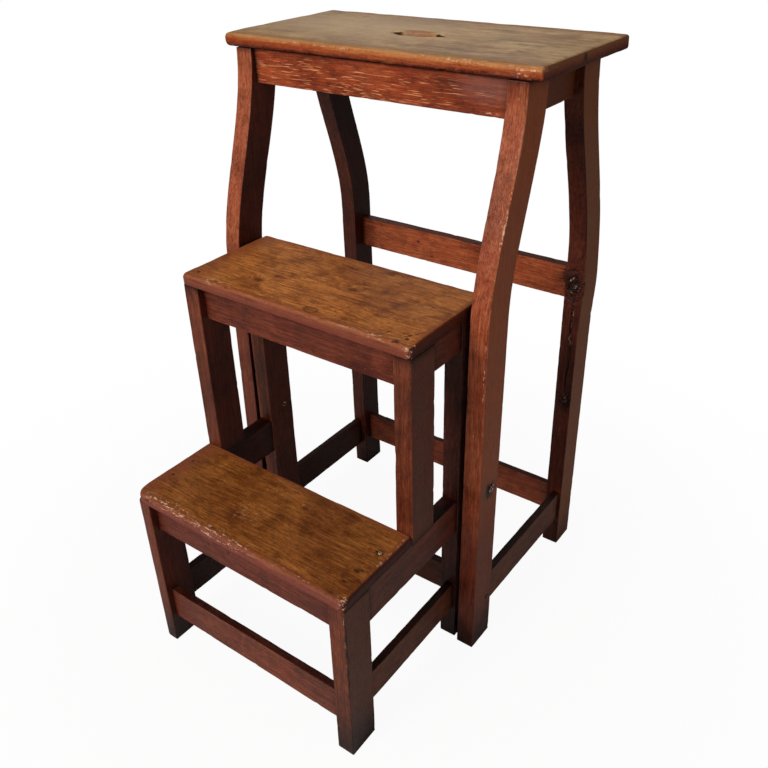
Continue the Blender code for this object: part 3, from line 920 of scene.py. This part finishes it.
for place, finish in (("front", front_leg_finish), ("back", back_leg_finish)):
    for side in ("left", "right"):
        node = "stool_leg_" + place + "_" + side
        leg = bowed_leg("bowed_leg_" + place + "_" + side, node, BOWS[place])
        if (place, side) == ("back", "right"):
            gnarl(leg, (((0.1865, 0.444), 0.0150), ((0.190, 0.266), 0.009)), (0.1885, 0.275, 0.425))
        set_on(leg, node, "stool", finish)

# Stretchers of the stool. Two flat rails join the back legs and one joins
# the legs of each side low down, all tenoned and set back from the faces.
stretcher_finish = oak(
    "red_stretcher_oak",
    "X",
    ((132, 58, 30), (158, 78, 43), (174, 94, 56), (196, 124, 86)),
    ring=0.25,
    stains_and_shadows=marks(
        (-163, 233, 437, 20, 6, 40, 0.45),
        (-71, 233, 442, 2.2, 4, 2.2, 1.0),
        (172, 233, 446, 16, 6, 22, 0.9),
    ),
)
low_stretcher_finish = oak(
    "brown_stretcher_oak",
    "X",
    ((96, 42, 26), (120, 58, 38), (134, 72, 48), (180, 112, 80)),
    ring=0.25,
    stains_and_shadows=marks((60, 240, 150, 240, 20, 3, 0.7)),
)
side_stretcher_finish = oak(
    "dark_stretcher_oak", "Y", ((80, 44, 28), (100, 56, 37), (114, 66, 45), (144, 96, 70))
)
for name, node, grain, finish in (
    ("upper_back_stretcher", "stool_stretcher_back_upper", "X", stretcher_finish),
    ("lower_back_stretcher", "stool_stretcher_back_lower", "X", low_stretcher_finish),
    ("side_stretcher_left", "stool_stretcher_left", "Y", side_stretcher_finish),
    ("side_stretcher_right", "stool_stretcher_right", "Y", side_stretcher_finish),
):
    set_on(stick(name, node, grain), node, "stool", finish)

# Treads. Golden oak boards with hand-planed tops, worn hollow at the nosing,
# nailed at each end; the low one has lost its square left corner.
TREAD_VOXEL = 0.0017
TREAD_CORNER = 0.026
TREAD_CORNER_WEAR = 0.0030
LOW_NAILS = ["nail_low_" + side + "_" + n for side in ("left", "right") for n in "12"]
MID_NAILS = ["nail_mid_left", "nail_mid_right"]


def tread(name, node, left_corner, right_corner, nose, nails):
    """A tread with its front corners rounded by these radii, worn hollow round each nail."""
    low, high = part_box(node)
    piece = start_block(name, low, high)
    for x, radius in ((low.x, left_corner), (high.x, right_corner)):
        corner = Vector((x, low.y))
        bevel(piece, radius, 6, lambda e: all((v.co.xy - corner).length < TOUCH for v in e.verts))

    def is_top_arris(edge):
        return sharp(edge) and least(edge, 2) > high.z - TOUCH and least(edge, 1) < high.y - TOUCH

    bevel(piece, nose, 5, is_top_arris)
    bevel(piece, 0.0016, 2, lambda e: sharp(e) and least(e, 2) > high.z - 0.001)
    enter("OBJECT")
    finish_modifier(piece, "REMESH", mode="VOXEL", voxel_size=TREAD_VOXEL)

    def front_arris(co):
        return max(1 - math.hypot(co.y - low.y, high.z - co.z) / 0.013, 0.0)

    wear_down(piece, front_arris, 0.0026, 0.007, 0.0005, 0.035)
    finish_modifier(piece, "SMOOTH", factor=0.5, iterations=1)
    nail_places = [(sum(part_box(nail), Vector()) / 2).xy for nail in nails]
    for vertex in piece.data.vertices:
        co = vertex.co
        for nail_place in nail_places:
            away = (co.xy - nail_place).length
            if away < 0.006 and vertex.normal.z > 0.5:
                co.z -= 0.0009 * (1 - away / 0.006)
        corner = max(1 - math.hypot(high.x - co.x, co.y - low.y) / TREAD_CORNER, 0.0)
        if co.z > low.z + 0.004:
            co.z -= TREAD_CORNER_WEAR * corner * corner * (1 + noise.noise(co * 300))
    bpy.ops.object.shade_smooth()
    arris = box_edge(low, high, 0.0045)

    def near_outline(vertex):
        """Left end and front edge kept most of the red stain, then the other two edges."""
        co = vertex.co
        left = 0.9 - (co.x - low.x) / 0.060
        front = 1.6 - (co.y - low.y) / 0.0070
        others = 1.0 - min(high.x - co.x, high.y - co.y) / 0.012
        return min(max(left, front, others, 0.0), 1.2)

    def nosing_scuff(vertex):
        """Broken pale lines along the front and the right arris, and bare wood at their corner."""
        co = vertex.co
        line = bell(math.hypot(co.y - low.y - 0.0045, high.z - co.z - 0.0006), 0.0020)
        corner = bell(math.hypot(high.x - co.x - 0.003, co.y - low.y - 0.003), 0.0055)
        end = bell(math.hypot(high.x - co.x - 0.0045, high.z - co.z - 0.0006), 0.0018)
        line = 0.36 * line * (0.8 + noise.noise(Vector((co.x * 30, 0, 0))))
        return line + 0.50 * corner + 0.24 * end * (0.8 + noise.noise(Vector((co.y * 40, 5.0, 0))))

    def nosing_dark_line(vertex):
        """A broken dark line under the nosing's worn arris."""
        co = vertex.co
        under = bell(high.z - co.z - 0.0052, 0.0016) if co.y < low.y + 0.003 else 0.0
        return 0.50 * under * (0.8 + noise.noise(Vector((co.x * 25, 3.0, 0))))

    def end_grain(vertex):
        """The underside, darkened as painted shade, and the end grain of the right end."""
        return 1.0 if vertex.normal.z < -0.7 else clamp((vertex.normal.x - 0.30) / 0.4)

    paint(piece, "edge", lambda v: max(arris(v.co), 0.9 * front_arris(v.co)))
    paint(piece, "rim", near_outline)
    paint(piece, "scuff_and_glint", nosing_scuff)
    paint(piece, "dirt_and_shade", nosing_dark_line)
    paint(piece, "skirt", skirt_at)
    paint(piece, "inner", end_grain)
    return piece


def score(finish, x, y, end_x, end_y, width, strength):
    """A dark mark on a tread's top that fades out at its ends, in millimetres, y from FRONT."""
    start = Vector((x / 1000, FRONT + y / 1000, 0))
    end = Vector((end_x / 1000, FRONT + end_y / 1000, 0))
    run = end - start
    place = place_in(finish)
    moved = vector("SUBTRACT", place, (start + end) / 2)
    lengthways = vector("DOT_PRODUCT", moved, run.normalized())
    sideways = vector("DOT_PRODUCT", moved, run.normalized().cross(Vector((0, 0, 1))))
    bend = times(figure("SUBTRACT", speckle(place, 180.0, 3.0), 0.5), 0.010)
    sideways = figure("DIVIDE", plus(sideways, bend), width / 1000)
    lengthways = figure("DIVIDE", lengthways, run.length / 2)
    ends = figure("POWER", figure("ABSOLUTE", lengthways), 4.0)
    away = figure("SQRT", plus(ends, times(sideways, sideways)))
    tint(finish, times(between(away, 1.1, 0.5), strength), 0.16, 0.10, 0.08)


low_tread = tread("low_tread", "step_tread_low", 0.017, 0.005, 0.0058, LOW_NAILS)
mid_tread = tread("mid_tread", "step_tread_mid", 0.006, 0.005, 0.0048, MID_NAILS)
low_bottom, low_top = [corner.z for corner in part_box("step_tread_low")]
mid_bottom, mid_top = [corner.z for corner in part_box("step_tread_mid")]
low_origin = (0, FRONT, low_top)
mid_origin = (0, FRONT, mid_top)
low_finish = oak(
    "golden_low_tread_oak",
    "X",
    ((104, 54, 18), (140, 82, 32), (170, 110, 52), (176, 112, 72)),
    ring=0.15,
    cloud=0.35,
    mottle=0.4,
    inner=0.20,
    rim=(122, 62, 38),
    skirt=(low_bottom, low_top - 0.001, (112, 50, 38), (122, 58, 44), (132, 70, 50)),
    knots=marks((33, 97, 0, 8, 6, 10, 0.012), origin=low_origin),
    stains_and_shadows=marks(
        (153, 86, 0, 7.5, 7.5, 6, 0.85),
        (150, 48, 0, 5, 3.5, 6, 0.8),
        (148, 28, 0, 4, 3.5, 6, 0.8),
        (-20, 128, 0, 70, 4, 6, 0.4),
        origin=low_origin,
    ),
    rubs_and_glints=marks(
        (-110, 5, 0, 55, 12, 10, 0.85),
        (-20, 4, -4, 70, 10, 10, 0.7),
        (162, 6, -2, 8, 8, 6, 1.0),
        (-20, 50, 0, 30, 20, 4, 0.3),
        (164, 90, 0, 3, 60, 3, 0.5),
        origin=low_origin,
    ),
)
mid_finish = oak(
    "golden_mid_tread_oak",
    "X",
    ((128, 64, 24), (180, 108, 48), (212, 142, 72), (186, 124, 84)),
    ring=0.15,
    cloud=0.35,
    mottle=0.4,
    rim=(136, 72, 42),
    skirt=(mid_bottom, mid_top - 0.001, (110, 50, 34), (124, 62, 42), (136, 74, 48)),
    knots=marks((-75, 165, 0, 14, 9, 10, 0.014), (35, 205, 0, 12, 7, 10, 0.012), origin=mid_origin),
    stains_and_shadows=marks(
        (147, 132, 0, 5, 4, 6, 0.8),
        (140, 190, 0, 40, 50, 4, 0.16),
        (20, 155, 0, 16, 4, 4, 0.5),
        (-60, 185, 0, 14, 3, 4, 0.45),
        origin=mid_origin,
    ),
    rubs_and_glints=marks(
        (-120, 134, -2, 30, 8, 5, 0.7),
        (162, 134, -2, 10, 9, 6, 1.0),
        (110, 132, -2, 60, 6, 5, 0.5),
        (-155, 165, 0, 3, 3, 4, 1.0),
        origin=mid_origin,
    ),
)
for row in (
    (120, 130, 132, 150, 1.1, 0.85),
    (147, 142, 163, 164, 1.2, 0.9),
    (34, 150, 50, 160, 1.4, 0.7),
    (52, 146, 60, 172, 1.0, 0.6),
    (-60, 128, -52, 112, 1.1, 0.7),
    (-66, 147, -40, 140, 1.2, 0.5),
    (-113, 125, -101, 120, 1.0, 0.6),
):
    score(mid_finish, *row)
ring_away = distance(place_in(mid_finish), (0.028, FRONT + 0.139, mid_top), (0.0085, 0.0060, 0.02))
ring_mark = between(figure("ABSOLUTE", figure("SUBTRACT", ring_away, 1.0)), 0.24, 0.06)
tint(mid_finish, times(ring_mark, 0.6), 0.25, 0.17, 0.14)
set_on(low_tread, "step_tread_low", "step_unit", low_finish)
set_on(mid_tread, "step_tread_mid", "step_unit", mid_finish)

# Legs and posts of the step unit. Six straight uprights of one oak section:
# low ones under the front tread, posts on its rails, long ones behind.
low_leg_low, low_leg_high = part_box("step_leg_low_right")
low_leg_arris = (low_leg_high.x, low_leg_low.y, 0)
unit_leg_finish = oak(
    "unit_leg_oak",
    "Z",
    ((84, 36, 20), (106, 50, 29), (124, 62, 38), (176, 110, 80)),
    ring=0.2,
    line=0.25,
    rim=(80, 42, 29),
    inner=0.60,
    stains_and_shadows=marks((0, 0, 170, 3, 3, 70, 0.8), origin=low_leg_arris),
    # Pale scratches along the low right leg's arris, with a painted glint.
    rubs_and_glints=marks((-2, 0, 232, 2, 3, 12, 0.8), (-2, 0, 185, 1.8, 3, 40, 0.2), origin=low_leg_arris),
)
# A shaded copy of the unit's leg finish: the rear right leg is painted darker as shade.
shaded_leg_finish = oak(
    "shaded_leg_oak",
    "Z",
    ((50, 20, 14), (68, 30, 22), (82, 40, 30), (120, 74, 56)),
    ring=0.2,
    line=0.25,
    inner=0.6,
)
for side in ("left", "right"):
    for name, node in (
        ("low_leg_" + side, "step_leg_low_" + side),
        ("mid_post_" + side, "step_post_mid_" + side),
        ("rear_leg_" + side, "step_leg_rear_" + side),
    ):
        corner = 0.010 if node == "step_leg_low_left" else 0.0
        upright = stick(name, node, "Z", 0.0012, 0.0011, corner)
        finish = shaded_leg_finish if node == "step_leg_rear_right" else unit_leg_finish
        set_on(upright, node, "step_unit", finish)

# Rails of the step unit. They carry the treads, flush at the sides and set
# back at the front, so that each leg throws a thin dark line beside them.
rail_finish = oak(
    "red_rail_oak", "X", ((80, 32, 19), (102, 44, 28), (118, 57, 37), (166, 100, 72)), ring=0.25
)
side_rail_finish = oak(
    "dark_rail_oak", "Y", ((80, 38, 27), (98, 50, 37), (112, 60, 46), (140, 92, 70)), inner=0.35
)
for name, node, grain, ease, finish in (
    ("low_front_rail", "step_rail_low_front", "X", 0.0011, rail_finish),
    ("mid_front_rail", "step_rail_mid_front", "X", 0.0011, rail_finish),
    ("mid_rear_rail", "step_rail_mid_rear", "X", 0.0011, rail_finish),
    ("low_rail_left", "step_rail_low_left", "Y", 0.0009, side_rail_finish),
    ("mid_rail_left", "step_rail_mid_left", "Y", 0.0009, side_rail_finish),
    ("low_rail_right", "step_rail_low_right", "Y", 0.0009, side_rail_finish),
    ("mid_rail_right", "step_rail_mid_right", "Y", 0.0009, side_rail_finish),
):
    set_on(stick(name, node, grain, ease), node, "step_unit", finish)

# Stretchers of the step unit. Thin flat rails tenoned between its four
# standing legs a hand's breadth above the floor.
for name, node, grain, finish in (
    ("front_stretcher", "step_stretcher_front", "X", low_stretcher_finish),
    ("rear_stretcher", "step_stretcher_rear", "X", low_stretcher_finish),
    ("left_stretcher", "step_stretcher_left", "Y", side_stretcher_finish),
    ("right_stretcher", "step_stretcher_right", "Y", side_stretcher_finish),
):
    set_on(stick(name, node, grain), node, "step_unit", finish)

# Nails. Cut iron nails hold the treads down; their heads sit a little below
# the wood, and one at the right of the low tread is rubbed bright.
NAIL_SINK = 0.0008


def round_bar(name, centre, axis, radius, length, sides):
    """A bar along an axis, in edit mode."""
    bpy.ops.mesh.primitive_cylinder_add(vertices=sides, radius=radius, depth=length, location=centre)
    bar = bpy.context.object
    bar.name = name
    bar.data.name = name
    if axis == "X":
        bar.rotation_euler = (0, math.pi / 2, 0)
    bpy.ops.object.transform_apply(location=True, rotation=True)
    enter("EDIT")
    return bar


def step_in(thickness, *way):
    """In edit mode, insets the chosen face and moves what is left of it that way."""
    bpy.ops.mesh.inset(thickness=thickness)
    bpy.ops.transform.translate(value=way)


def metal(name, tone, worn, rough, grit=900.0, blur=0.27):
    """Iron with a rough skin; blur is how far apart its two tones lie in the noise."""
    finish, shader = new_finish(name)
    rust = speckle(place_in(finish), grit, 4.0)
    colour = ramp(rust, (0.62 - blur, srgb(*tone)), (0.62, srgb(*worn)))
    plug(shader, {"Base Color": colour, "Metallic": between(rust, 0.75, 0.2), "Roughness": rough})
    bump = plant(finish.node_tree, "Bump", {"Height": rust, "Strength": 0.5, "Distance": 0.0003})
    plug(shader, {"Normal": bump.outputs[0]})
    return finish


bright_iron = metal("rubbed_iron", (96, 84, 76), (214, 202, 186), 0.32)
# The pin's pale pink spots are painted glints on its rough head.
red_iron = metal("rusted_iron", (70, 26, 20), (236, 196, 184), 0.55, 420.0, 0.12)
dark_iron = metal("dark_iron", (40, 28, 22), (84, 62, 48), 0.5)
for node in LOW_NAILS + MID_NAILS:
    low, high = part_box(node)
    radius = (high.x - low.x) / 2
    centre = ((low.x + high.x) / 2, (low.y + high.y) / 2, (low.z + high.z) / 2 - NAIL_SINK)
    nail = round_bar(node.replace("nail", "cut_nail"), centre, "Z", radius, high.z - low.z, 16)
    choose(nail, "faces", lambda f: f.normal.z > 0.9)
    step_in(radius * 0.3, 0, 0, radius * 0.25)
    step_in(radius * 0.3, 0, 0, radius * 0.06)
    choose(nail, "faces", lambda f: f.normal.z < -0.9)
    bpy.ops.transform.resize(value=(0.35, 0.35, 1), center_override=(centre[0], centre[1], low.z))
    enter("OBJECT")
    bpy.ops.object.shade_smooth_by_angle(angle=0.6)
    set_on(nail, node, "step_unit", bright_iron if node == "nail_low_right_2" else dark_iron)

# Pivot pins. An iron pin on each side joins the stool's front leg to the
# long leg of the step unit; its outer end is hammered over into a rough head.
PIN_PROUD = 0.0009
PIN_HEAD = 0.0058
for side, outward in (("left", -1), ("right", 1)):
    node = "pivot_pin_" + side
    low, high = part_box(node)
    radius = (high.z - low.z) / 2
    middle = (low + high) / 2
    pin = round_bar("hammered_pin_" + side, middle, "X", radius, high.x - low.x, 20)
    leg_face = high.x if side == "right" else low.x
    choose(pin, "faces", lambda f: f.normal.x * outward > 0.9)
    pull(outward * 0.0001, 0, 0)
    bpy.ops.transform.resize(value=(1, PIN_HEAD / radius, PIN_HEAD / radius), center_override=middle)
    pull(outward * PIN_PROUD, 0, 0)
    for _ in range(5):
        step_in(PIN_HEAD * 0.17, outward * 0.00012, 0, 0)
    enter("OBJECT")
    for vertex in pin.data.vertices:
        co = vertex.co
        if (co.x - leg_face) * outward > 0.0002:
            spread = 1 + 0.22 * noise.noise(co * 260)
            co.x += outward * 0.0011 * noise.noise(co * 620)
            co.y = middle.y + (co.y - middle.y) * spread
            co.z = middle.z + (co.z - middle.z) * spread
    bpy.ops.object.shade_smooth_by_angle(angle=0.9)
    set_on(pin, node, "stool", red_iron)

# Stretcher pegs. Whittled oak pegs lock the side stretchers in the front
# legs; each stands a hair proud, with its end grain dark.
peg_finish = oak("peg_end_oak", "X", ((40, 22, 16), (66, 38, 28), (96, 62, 46), (150, 110, 84)), inner=0.5)
for side, outward in (("left", -1), ("right", 1)):
    node = "stretcher_peg_" + side
    low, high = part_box(node)
    radius = (high.z - low.z) / 2
    peg = round_bar("whittled_peg_" + side, (low + high) / 2, "X", radius, high.x - low.x, 9)
    choose(peg, "faces", lambda f: f.normal.x * outward > 0.9)
    step_in(radius * 0.2, outward * 0.0008, 0, 0)
    bevel(peg, 0.0004, 2, lambda e: run_of(e, 0) > radius)
    enter("OBJECT")
    paint(peg, "edge", lambda v: 0.5)
    paint(peg, "inner", lambda v: 0.0)
    set_on(peg, node, "stool", peg_finish)
